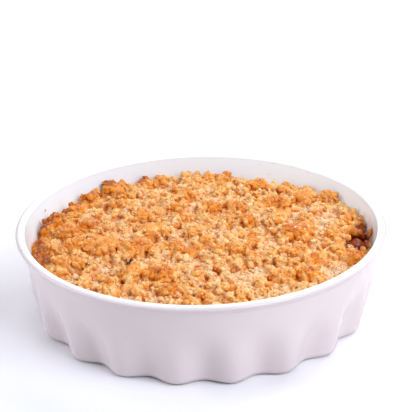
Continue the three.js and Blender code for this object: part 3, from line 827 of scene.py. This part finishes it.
def layer(count, top, edge_z, side_z, gap):
    """Points and faces: the top grid at height top(x, y), rings down the wall, and a flat underside."""
    x, y = from_front(*disc_places(count))
    reach = inner_radius(edge_z, np.arctan2(x, -y)) - gap
    x, y = x * reach, y * reach
    index = np.arange(count * count).reshape(count, count)
    border = np.concatenate([index[:-1, 0], index[-1, :-1], index[:0:-1, -1], index[0, :0:-1]])
    angle = np.arctan2(x.ravel()[border], -y.ravel()[border])
    rings = [np.column_stack([*from_front(inner_radius(h, angle) - gap, angle), np.full(len(border), h)])
             for h in side_z]
    grid = np.stack([x, y, top(x, y)], -1).reshape(-1, 3)
    points = np.concatenate([grid, *rings, [[0, 0, side_z[-1]]]])
    quads = [np.stack([index[:-1, :-1], index[1:, :-1], index[1:, 1:], index[:-1, 1:]], -1).reshape(-1, 4)]
    above = border
    for number in range(len(side_z)):
        below = count * count + number * len(border) + np.arange(len(border))
        quads.append(np.column_stack([above, below, np.roll(below, -1), np.roll(above, -1)]))
        above = below
    fan = np.column_stack([above, np.full(len(above), len(points) - 1), np.roll(above, -1)])
    return points, [np.concatenate(quads), fan]


# %% [markdown]
# ## The crust
#
# The crust takes its heights and its three marks, toasted, wet and deep, from the maps.

# %% Crumb crust
CRUST_CELLS = 296
CRUST_GAP = 0.15
crust_points, crust_faces = layer(
    CRUST_CELLS, lambda x, y: sample(height_map, x, y), BED_EDGE_Z + 1, (42.0, CRUST_BOTTOM), CRUST_GAP
)
crust_x, crust_y = crust_points[:, 0], crust_points[:, 1]
crust_marks = {
    "toast": sample(toast_map, crust_x, crust_y) + 0.03,
    "wet": sample(juice_and_shade_map, crust_x, crust_y),
    # Painted shade: the crust shows only between the crumbs, so all of it takes some of the darker amber.
    "deep": np.maximum(0.15, sample(crease_shade_map, crust_x, crust_y)),
}
crust = add_piece("crumb_crust", crust_points, crust_faces, baked, crust_marks)
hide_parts("crumb_topping")

# %% [markdown]
# ## Loose nuggets and crumbs
#
# What makes the topping crisp is that its crumbs are separate bodies with gaps under them. Each is a
# few small balls of dough that fused as they baked. Seen from its middle, such a cluster reaches as
# far as the farthest of its balls, which one formula gives for every direction. Thousands of them are
# joined into one mesh for each kind, by whole arrays, and half sunk in the crust.

# %% A cluster of dough
SHAPES_PER_PIECE = 16


def cluster(rings, turns, rng, balls=4, spread=0.58):
    """A grid of directions p, each as far as the farthest ball: p.m + sqrt(r^2 - m.m + (p.m)^2)."""
    latitude = np.linspace(0, math.pi, rings + 2)[1:-1][:, None]
    longitude = np.linspace(0, 2 * math.pi, turns, endpoint=False)[None, :]
    x, y = np.sin(latitude) * np.cos(longitude), np.sin(latitude) * np.sin(longitude)
    points = ring_points(x, y, np.cos(latitude) + 0 * longitude)
    points[-2:] = [[0, 0, 1], [0, 0, -1]]
    middles = rng.normal(0, 1, (balls, 3))
    middles *= (spread * rng.uniform(0.7, 1.1, balls) / np.linalg.norm(middles, axis=1))[:, None]
    radii = rng.uniform(1.13 * spread, 1.36 * spread, balls)
    along = points @ middles.T
    reach = (along + np.sqrt(radii**2 - (middles**2).sum(1) + along**2)).max(axis=1)
    return points * (reach / reach.mean())[:, None]


print("cluster of 5 by 8:", len(cluster(5, 8, chance)), "points")


# %% Turn, scale and strew the clusters
def random_turns(count, rng):
    """Rotation matrices from random quaternions."""
    quaternions = rng.normal(0, 1, (4, count))
    w, x, y, z = quaternions / np.linalg.norm(quaternions, axis=0)
    return np.stack([
        1 - 2 * (y * y + z * z), 2 * (x * y - z * w), 2 * (x * z + y * w),
        2 * (x * y + z * w), 1 - 2 * (x * x + z * z), 2 * (y * z - x * w),
        2 * (x * z - y * w), 2 * (y * z + x * w), 1 - 2 * (x * x + y * y),
    ], axis=-1).reshape(count, 3, 3)


def frames_along(azimuth, rise):
    """For each crumb a frame whose first axis points at this azimuth and rise, both in radians."""
    ahead = np.stack([np.cos(rise) * np.cos(azimuth), np.cos(rise) * np.sin(azimuth), np.sin(rise)], -1)
    side = np.stack([-np.sin(azimuth), np.cos(azimuth), 0 * azimuth], -1)
    return np.stack([ahead, side, np.cross(ahead, side)], axis=-1)


def random_scales(sizes, rng):
    """A little longer one way and flatter another."""
    return np.stack([sizes * rng.uniform(0.95, 1.45, len(sizes)), sizes,
                     sizes * rng.uniform(0.65, 1.0, len(sizes))], -1)


def strew(rings, turns, places, scales, frames, rng, **dough):
    """Points and faces of one cluster at each place, scaled along its three axes and turned."""
    shapes = np.stack([cluster(rings, turns, rng, **dough) for _ in range(SHAPES_PER_PIECE)])
    picked = shapes[rng.integers(len(shapes), size=len(places))] * scales[:, None, :]
    points = np.einsum("nij,nvj->nvi", frames, picked) + places[:, None, :]
    start = (np.arange(len(places)) * shapes.shape[1])[:, None, None]
    faces = [(block[None] + start).reshape(-1, block.shape[1]) for block in ring_faces(rings, turns)]
    return points.reshape(-1, 3), faces


# %% [markdown]
# A crumb stands on the crust along the crust's own normal there, so crumbs also cling to the clumps'
# sides. None may reach into the dish's wall, over the gaps and pits, or above the free space over the
# food. Each takes its toasting from the crust round it, and by the hot wall on the left some are
# nearly burnt while their neighbours are still pale.

# %% Places on the crust
CRUMB_CEILING = 55.0
slope_y, slope_x = np.gradient(blurred(height_map, 1.0), PITCH)
even_toast_map = 0.5 * toast_map + 0.5 * blurred(toast_map, 4)


def draw_in(places, margin):
    """Moves places towards the dish's axis until they stand off its wall by the margin."""
    distance = np.maximum(np.hypot(places[:, 0], places[:, 1]), 1e-6)
    limit = inner_radius(places[:, 2], 0.0) - margin
    places[:, :2] *= np.minimum(1.0, limit / distance)[:, None]


def places_on_crust(x, y, sizes, lift):
    """Points over the map at (x, y), moved along the surface normal by lift times the crumb's size."""
    off_gaps = np.min([oval_distance(x, y, gap) - sizes / gap[2] for gap in OPEN_GAPS], axis=0)
    off_pits = np.min([np.hypot(x - pit[0], y - pit[1]) - 0.7 * sizes - 0.7 * pit[2]
                       for pit in all_pits], axis=0)
    normal = np.stack([-sample(slope_x, x, y), -sample(slope_y, x, y), np.ones_like(x)], -1)
    normal /= np.linalg.norm(normal, axis=1)[:, None]
    places = np.stack([x, y, sample(height_map, x, y)], -1) + normal * (lift * sizes)[:, None]
    draw_in(places, 1.5 * sizes + 0.65 * np.maximum(sample(dip_map, x, y), 0))
    places[:, 2] = np.minimum(places[:, 2], CRUMB_CEILING - 1.9 * sizes)
    clear = (off_gaps > 0.9) & (off_pits > 0)
    return places[clear], sizes[clear]


def toasting(places, rng, shift=0.0):
    """The crust's toasting round each place, and a draw of the crumb's own, wider by the hot wall."""
    by_hot_wall = smoothstep(BED_RADIUS - 16, BED_RADIUS - 4, np.hypot(places[:, 0], places[:, 1]))
    by_hot_wall *= smoothstep(-20, -80, places[:, 0])
    own = rng.normal(shift, 0.06, len(places)) * (1 + 1.6 * by_hot_wall)
    return sample(even_toast_map, places[:, 0], places[:, 1]) + own


def add_crumbs(name, rings, turns, places, scales, frames, own_toast, rng,
               juice=1.0, browned=0.12, **dough):
    """One piece of many crumbs. Each has its own toasting, its top is a little browner, and its
    underside is painted the creases' darker amber, as painted shade."""
    points, faces = strew(rings, turns, places, scales, frames, rng, **dough)
    each = np.repeat(np.arange(len(places)), len(points) // len(places))
    top = (points[:, 2] - places[each, 2]) / scales[each].mean(axis=1)
    x, y = points[:, 0], points[:, 1]
    marks = {
        "toast": np.clip(own_toast[each] + browned * top, 0, 1),
        "wet": sample(juice_and_shade_map, x, y) * np.broadcast_to(juice, len(places))[each],
        # Painted shade: undersides and the crust's creases below take the darker amber.
        "deep": np.maximum(smoothstep(-0.5, 0.6, -top), 0.9 * sample(crease_shade_map, x, y)),
    }
    return add_piece(name, points, faces, baked, marks)


# %% [markdown]
# The knobs of the large clumps come first, as bodies of their own that overhang the bed a little, so
# a crease in shadow runs round each clump's foot, darkened further by painted shade. Each is a
# berry-like heap of many fused balls.

# %% Bodies of the clumps
rng = np.random.default_rng(77)
knob_rows = np.array(knobs)
knob_places = knob_rows[:, :3].copy()
knob_size, knob_stretch, knob_turn = knob_rows[:, 3:].T
knob_dip = sample(dip_map, knob_places[:, 0], knob_places[:, 1])
knob_places[:, 2] += 0.12 * knob_size - knob_dip
draw_in(knob_places, 1.25 * knob_size * np.sqrt(knob_stretch) + 0.5 * np.maximum(knob_dip, 0))
knob_places[:, 2] = np.minimum(knob_places[:, 2], CRUMB_CEILING - 0.95 * knob_size)
knob_scales = np.stack([np.sqrt(knob_stretch), 1 / np.sqrt(knob_stretch), np.full(len(knobs), 0.74)], -1)
add_crumbs("clump_bodies", 16, 26, knob_places, knob_scales * 0.95 * knob_size[:, None],
           frames_along(knob_turn, 0 * knob_turn), toasting(knob_places, rng), rng,
           browned=0.2, balls=12, spread=0.62)

# %% [markdown]
# The nuggets, 2 to 6 mm across, lie where the topping is coarse, and fine crumbs elsewhere. Small ones
# are far more common than large ones. More crowd on the clumps and their steep sides, fewer lie in the
# creases round their feet, and a row stands against the wall. They are sorted by their toasting into
# three pieces.

# %% Nuggets
WALL_NUGGETS = 260
SMALLEST_HOST = 4.3
LARGE_HOST = 6.5
bed_x, bed_y = jittered(4.0, BED_RADIUS - 0.5, rng)
share = 0.25 + 0.75 * sample(crowd_map, bed_x, bed_y) - 0.5 * sample(foot_map, bed_x, bed_y)
kept = rng.random(len(bed_x)) < share
bed_x, bed_y = bed_x[kept], bed_y[kept]
on_clumps = []
for cx, cy, size, stretch, turn, _ in clumps:
    fewer = 0.45 if size > LARGE_HOST else 1
    number = int(min(0.45, 3.4 / size) * size * size * fewer) if size > SMALLEST_HOST else 0
    out, around = np.sqrt(rng.uniform(0, 1, number)) * size, rng.uniform(0, 2 * math.pi, number)
    along, across = out * np.cos(around) * math.sqrt(stretch), out * np.sin(around) / math.sqrt(stretch)
    dx, dy = turned(along, across, math.radians(turn))
    on_clumps.append([cx + dx, cy + dy])
clump_x, clump_y = np.concatenate(on_clumps, axis=1)
wall_angle = rng.uniform(0, 2 * math.pi, WALL_NUGGETS)
wall_x, wall_y = from_front(BED_RADIUS - rng.uniform(0.5, 4.5, WALL_NUGGETS), wall_angle)
side_x, side_y = jittered(2.3, BED_RADIUS - 1, rng)
steep = np.hypot(sample(slope_x, side_x, side_y), sample(slope_y, side_x, side_y)) > 1.05
x = np.concatenate([bed_x, clump_x, side_x[steep], wall_x])
y = np.concatenate([bed_y, clump_y, side_y[steep], wall_y])
sizes = 1.1 + 1.7 * rng.random(len(x)) ** 2.2
sizes[len(bed_x):len(bed_x) + len(clump_x)] *= 0.8
nuggets, nugget_sizes = places_on_crust(x, y, sizes, rng.uniform(-0.4, 0.3, len(x)))
own = toasting(nuggets, rng)
pale_limit, toasted_limit = np.quantile(own, [0.33, 0.67])
for name, kept in (
    ("pale_nuggets", own < pale_limit),
    ("golden_nuggets", (own >= pale_limit) & (own < toasted_limit)),
    ("toasted_nuggets", own >= toasted_limit),
):
    add_crumbs(name, 6, 9, nuggets[kept], random_scales(nugget_sizes[kept], rng),
               random_turns(int(kept.sum()), rng), own[kept], rng)

# %% [markdown]
# Fine crumbs fill the bed between the nuggets, and three more are stuck on each nugget, which makes
# its outline ragged. They are dealt at random to three pieces, each a little paler or browner.

# %% Fine crumbs
STUCK_PER_NUGGET = 3
x, y = jittered(2.6, BED_RADIUS - 0.5, rng)
kept = rng.random(len(x)) < 0.9 - 0.5 * sample(crowd_map, x, y) - 0.4 * sample(foot_map, x, y)
x, y = x[kept], y[kept]
crumbs, sizes = places_on_crust(x, y, rng.uniform(0.6, 1.2, len(x)), rng.uniform(-0.3, 0.5, len(x)))
host = np.repeat(np.arange(len(nuggets)), STUCK_PER_NUGGET)
turn, up = rng.uniform(0, 2 * math.pi, len(host)), rng.uniform(-0.2, 0.95, len(host))
toward = np.stack([np.sqrt(1 - up**2) * np.cos(turn), np.sqrt(1 - up**2) * np.sin(turn), up], axis=-1)
stuck = nuggets[host] + toward * 0.8 * nugget_sizes[host, None]
stuck_sizes = nugget_sizes[host] * rng.uniform(0.34, 0.52, len(host))
stuck[:, 2] = np.minimum(stuck[:, 2], CRUMB_CEILING - 1.3 * stuck_sizes)
draw_in(stuck, 1.5 * stuck_sizes)
crumbs, sizes = np.concatenate([crumbs, stuck]), np.concatenate([sizes, stuck_sizes])
kind = rng.integers(3, size=len(crumbs))
for number, (name, shift) in enumerate((
    ("sandy_crumbs", -0.07), ("golden_crumbs", 0.0), ("toasted_crumbs", 0.05),
)):
    kept = kind == number
    add_crumbs(name, 3, 6, crumbs[kept], random_scales(sizes[kept], rng),
               random_turns(int(kept.sum()), rng), toasting(crumbs[kept], rng, shift), rng)

# %% [markdown]
# Some crumbs stand out one by one in the photograph. At the hollow on the right they are a pale
# finger, an amber lump and a dark column in the juice. Browned ones lie by the wall, red-brown ones at
# the right edge, one is stuck on the inner wall and one on the rim. Each is a cluster stretched along
# its own direction.

# %% Crumbs that stand out
# x, y, z, half length, half width, azimuth and rise of its direction in degrees, toasting, juice
SINGLE_CRUMBS = [
    (88.6, -4.9, 50, 2.7, 2.2, 10, 3, 0.18, 0), (91.8, -5.9, 50.4, 2.9, 2.1, -20, 3, 0.14, 0),
    (95, -6.9, 50, 2.6, 2.3, -30, 3, 0.20, 0), (96.4, 5.6, 48.6, 3.2, 2.7, 30, 3, 0.50, 0.15),
    (99.9, 4.6, 48.4, 3.4, 2.9, -20, 3, 0.58, 0.3), (103.4, 4.6, 47.6, 2.7, 2.5, 50, 3, 0.64, 0.5),
    (94.5, 9.5, 48.4, 3.8, 2.4, 60, 5, 0.30, 0.2), (103, 22, 47.8, 3.2, 2.4, 100, 10, 0.62, 0.3),
    (107.8, 27, 47.4, 3.6, 2.3, 110, 8, 0.58, 0.2), (106.8, 20, 45.8, 3.2, 2.4, 100, -5, 0.80, 1),
    (106.8, 13.5, 44.6, 3.4, 2.2, 98, 0, 0.85, 1), (106.2, 7.5, 43.4, 3, 2, 95, 0, 0.90, 1),
    (-82.3, 70.5, 49.2, 3.2, 1.2, 60, 80, 0.66, 0.5), (-74.5, 77.5, 48, 3, 2.2, 20, 30, 0.72, 1),
    (101.4, -29, 47.4, 3, 2.7, 40, 10, 0.55, 1), (96, -31.5, 47.6, 3.1, 2.3, 150, 20, 0.66, 1),
    (104, -20.5, 47.2, 3.2, 2.2, 120, 15, 0.60, 0.4), (93.5, 19, 48.2, 3.6, 2.4, 100, 5, 0.34, 1),
    (-99.5, 33.5, 50, 2.6, 2.1, 80, 60, 0.90, 1), (-92, 42, 50.4, 2.4, 1.9, 10, 70, 0.84, 1),
    (-103, -12, 49.4, 3, 2.1, 100, 10, 0.92, 1), (-104.6, 26.5, 50.8, 2.4, 1.9, 80, 10, 0.90, 1),
    (-104.6, -4.5, 50, 2.4, 1.9, 95, 10, 0.92, 1), (-101.6, -21.5, 49.6, 2.6, 2, 110, 0, 0.92, 1),
    (-88.5, 52, 51.2, 2.4, 1.9, 45, 20, 0.86, 1), (-80, 64.5, 51, 2.4, 1.9, 40, 30, 0.86, 1),
    (-77.5, 15.5, 53.2, 2.2, 1.6, 10, 10, 0.80, 1), (-73, 13, 53.2, 2, 1.5, 60, 0, 0.76, 1),
    (21.5, 103, 49, 2.6, 1.1, 60, 70, 0.55, 1), (-105.2, 40.6, 52.4, 0.9, 0.8, 0, 20, 0.45, 1),
    (-112.4, -36.4, 59.9, 0.9, 0.5, 0, 0, 0.25, 1),
]
single = np.array(SINGLE_CRUMBS)
add_crumbs("single_crumbs", 9, 14, single[:, :3], single[:, [3, 4, 4]] / 1.1,
           frames_along(*np.radians(single[:, 5:7]).T), single[:, 7], rng,
           juice=single[:, 8], balls=11, spread=0.6)

# %% [markdown]
# Coarse sugar was strewn over the crumbs. Most grains melted, and those left glint white in a few
# places. Each is a cube of less than a millimetre, turned at random.

# %% Sugar grains
# x, y, radius, grains
SUGAR_PLACES = [
    (81, -53, 7, 30), (88, -46, 5, 16), (76, -56, 4, 12), (-100, -27, 4, 10), (24, -69, 4, 7),
    (6, 81, 4, 5), (31, -38, 6, 6), (-45, -88, 8, 8), (98, -17, 4, 9), (65, 2, 5, 6), (0, 0, 100, 36),
]
sugar, tree, shader = new_finish("sugar", Base_Color=(0.96, 0.93, 0.90, 1.0), Roughness=0.15, IOR=1.55)
middle = np.concatenate([np.tile((x, y, size), (count, 1)) for x, y, size, count in SUGAR_PLACES])
out, around = middle[:, 2] * np.sqrt(rng.random(len(middle))), rng.uniform(0, 2 * math.pi, len(middle))
grain_x, grain_y = middle[:, 0] + out * np.cos(around), middle[:, 1] + out * np.sin(around)
grains, grain_size = places_on_crust(grain_x, grain_y, rng.uniform(0.22, 0.42, len(middle)),
                                     np.full(len(middle), 1.6))
cube = np.array([[i, j, k] for k in (-1, 1) for j in (-1, 1) for i in (-1, 1)], float)
cube_faces = np.array([[0, 2, 3, 1], [4, 5, 7, 6], [0, 1, 5, 4], [2, 6, 7, 3], [0, 4, 6, 2], [1, 3, 7, 5]])
grain_points = np.einsum("nij,vj->nvi", random_turns(len(grains), rng), cube) * grain_size[:, None, None]
grain_points = (grain_points + grains[:, None, :]).reshape(-1, 3)
grain_faces = (cube_faces[None] + 8 * np.arange(len(grains))[:, None, None]).reshape(-1, 4)
sugar_piece = add_piece("sugar_grains", grain_points, [grain_faces], sugar)
sugar_piece.data.shade_flat()

# %% [markdown]
# ## The fruit
#
# Under the crust lies cooked fruit in its own dark juice. It shows only where the crust is open, as
# rounded, glossy lumps, so its layer swells up there. The berry is nearly black, and a mark on its
# points colours it.

# %% Cooked fruit
BERRY_BLACK = (0.035, 0.005, 0.012, 1.0)
FRUIT_COLORS = [(0.3, (0.16, 0.018, 0.004)), (0.5, (0.34, 0.055, 0.010)), (0.7, (0.52, 0.14, 0.030))]
fruit, tree, shader = new_finish(
    "cooked_fruit",
    Roughness=0.3,
    IOR=1.4,
    Specular_IOR_Level=0.35,
    Subsurface_Weight=0.3,
    Subsurface_Radius=(1.0, 0.12, 0.05),
    Subsurface_Scale=0.002,
    Coat_Weight=0.3,
    Coat_Roughness=0.1,
)
skin = noise(tree, add_node(tree, "ShaderNodeTexCoord").outputs["Object"], 260.0, 3.0)
fruit_color = color_steps(tree, skin, FRUIT_COLORS)
drive(
    tree,
    shader,
    Base_Color=blend(tree, point_mark(tree, "berry"), fruit_color, BERRY_BLACK),
    Normal=bump(tree, skin, 0.3, 0.0006),
)
print("fruit nodes:", len(tree.nodes))

# %% The fruit's surface
# Lumps of fruit: x, y, radius, top
FRUIT_LUMPS = [
    (101.4, -1.4, 6.2, 46.2), (100.4, -10.5, 4.4, 43.2), (105.6, -10, 3.6, 42.6), (104.8, 6.4, 3.6, 42),
    (99.6, 5.2, 2.6, 41), (105.8, 12.5, 3.2, 43), BERRY,
]


def fruit_top(x, y):
    """The filling's flat top with a round lump of fruit at each listed place."""
    top = np.full_like(x, FILLING_TOP) + 0.25 * patches(x, y, 7, 12)
    for fx, fy, size, reach in FRUIT_LUMPS:
        inside = 1 - ((x - fx) ** 2 + (y - fy) ** 2) / size**2
        top = np.maximum(top, FILLING_TOP - 1 + (reach - FILLING_TOP + 1) * np.sqrt(np.maximum(inside, 0)))
    return top


fruit_points, fruit_faces = layer(230, fruit_top, FILLING_TOP, (37.0, 26.0, 13.0, 8.5, 6.6, 6.3), LAYER_GAP)
berry_mark = np.hypot(fruit_points[:, 0] - BERRY[0], fruit_points[:, 1] - BERRY[1]) < 5
fruit_piece = add_piece("cooked_fruit", fruit_points, fruit_faces, fruit, {"berry": berry_mark})
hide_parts("fruit_filling")

# %% [markdown]
# One splash of juice baked on to the right side's inner wall. It is a thin drop, thicker round its
# edge, as a drop dries. Its surface is a ball pressed on to the wall: every point of the ball keeps
# its place across and up the wall, and its depth is pressed flat.

# %% Baked-on drop
DROP_RINGS, DROP_TURNS = 13, 24
DROP_AZIMUTH, DROP_Z, DROP_WIDTH, DROP_HEIGHT, DROP_DEPTH = 91.8, 48.0, 3.2, 3.2, 3.0
ball = cluster(DROP_RINGS, DROP_TURNS, rng, spread=0.2)
ball /= np.abs(ball).max(axis=0)
edge = np.hypot(ball[:, 0], ball[:, 1])
drop_z = DROP_Z + DROP_HEIGHT * ball[:, 1]
drop_angle = math.radians(DROP_AZIMUTH) + DROP_WIDTH * ball[:, 0] / 110
thickness = DROP_DEPTH * (0.45 + 0.55 * edge**2)
inward = np.where(ball[:, 2] > 0, thickness * np.sqrt(np.maximum(ball[:, 2], 0)), 0)
drop_r = inner_radius(drop_z, drop_angle) - 0.05 - inward
drop_points = np.stack([*from_front(drop_r, drop_angle), drop_z], axis=-1)
drop_marks = {"toast": 0.52 + 0.2 * edge**2, "wet": 0.25 * edge, "deep": 0.3 + 0 * edge}
add_piece("baked_on_drop", drop_points, ring_faces(DROP_RINGS, DROP_TURNS), baked, drop_marks)

# %% [markdown]
# ## The set
#
# The camera stands where the photograph was taken from: a metre away, 24.7 degrees above the table.
# A plain white floor and large soft lamps, with the brightest at the front right and the back right,
# give the even, bright light of a kitchen studio.

# %% Camera
VIEW_ELEVATION = math.radians(24.675)
VIEW_DISTANCE = 0.9944
VIEW_ROLL = math.radians(-1.037)
PHOTO_WIDTH = 416
PIXELS_PER_MM = 1.539
AIM_RIGHT_MM = 4.84
AIM_UP_MM = 10.38


def set_up(name, data, place, target, roll=0.0):
    """Stands a camera or a lamp at a place, looks at the target, and rolls it by an angle."""
    backward = (place - target) / np.linalg.norm(place - target)
    right = np.cross([0, 0, 1], backward)
    right /= np.linalg.norm(right)
    up = np.cross(backward, right)
    rolled_right = math.cos(roll) * right + math.sin(roll) * up
    rolled_up = math.cos(roll) * up - math.sin(roll) * right
    matrix = np.eye(4)
    matrix[:3, :] = np.column_stack([rolled_right, rolled_up, backward, place])
    thing = bpy.data.objects.new(name, data)
    bpy.context.scene.collection.objects.link(thing)
    thing.matrix_world = Matrix(matrix.tolist())
    return thing


to_camera = np.array([0.0, -math.cos(VIEW_ELEVATION), math.sin(VIEW_ELEVATION)])
view_up = np.array([0.0, math.sin(VIEW_ELEVATION), math.cos(VIEW_ELEVATION)])
rim_middle = np.array([0.0, 0.0, DISH_HEIGHT * MM])
aim = rim_middle + np.array([AIM_RIGHT_MM, 0, 0]) * MM + AIM_UP_MM * MM * view_up
camera_data = bpy.data.cameras.new("camera")
camera_data.lens = PIXELS_PER_MM * VIEW_DISTANCE / MM / PHOTO_WIDTH * camera_data.sensor_width
camera_place = rim_middle + VIEW_DISTANCE * to_camera
bpy.context.scene.camera = set_up("camera", camera_data, camera_place, aim, VIEW_ROLL)
print("lens", round(camera_data.lens, 1), "mm")

# %% Floor and lamps
LAMP_DISTANCE = 1.3
LAMP_SIZE = 0.8
# name, azimuth and elevation in degrees, power, colour
LAMPS = [
    ("front_lamp", 315, 45, 12.0, (0.91, 0.97, 1.09)),
    ("low_front_lamp", 315, 20, 2.4, (0.91, 0.97, 1.09)),
    ("left_lamp", 180, 20, 7.9, (0.93, 0.97, 1.08)),
    ("high_left_lamp", 180, 70, 5.1, (0.93, 0.97, 1.08)),
    ("right_back_lamp", 45, 42, 10.0, (0.98, 0.97, 0.98)),
    ("back_lamp", 90, 20, 3.2, (0.98, 0.97, 0.98)),
]
floor_mesh = bpy.data.meshes.new("floor")
floor_mesh.from_pydata([(-3, -3, 0), (3, -3, 0), (3, 3, 0), (-3, 3, 0)], [], [(0, 1, 2, 3)])
floor_finish, tree, shader = new_finish("pale_floor", Base_Color=(0.90, 0.89, 0.90, 1), Roughness=0.7)
floor_mesh.materials.append(floor_finish)
floor = bpy.data.objects.new("floor", floor_mesh)
bpy.context.scene.collection.objects.link(floor)

world = bpy.data.worlds.new("studio")
world.use_nodes = True
world.node_tree.nodes["Background"].inputs["Color"].default_value = (1.0, 0.94, 0.98, 1)
world.node_tree.nodes["Background"].inputs["Strength"].default_value = 0.12
bpy.context.scene.world = world
bpy.context.scene.view_settings.view_transform = "Standard"

for name, azimuth, elevation, power, color in LAMPS:
    lamp_data = bpy.data.lights.new(name, "AREA")
    lamp_data.size = LAMP_SIZE
    lamp_data.energy = power
    lamp_data.color = color
    turn, tall = math.radians(azimuth), math.radians(elevation)
    toward = np.array([math.cos(tall) * math.cos(turn), math.cos(tall) * math.sin(turn), math.sin(tall)])
    set_up(name, lamp_data, LAMP_DISTANCE * toward, np.zeros(3))
print("lamps:", len(LAMPS))
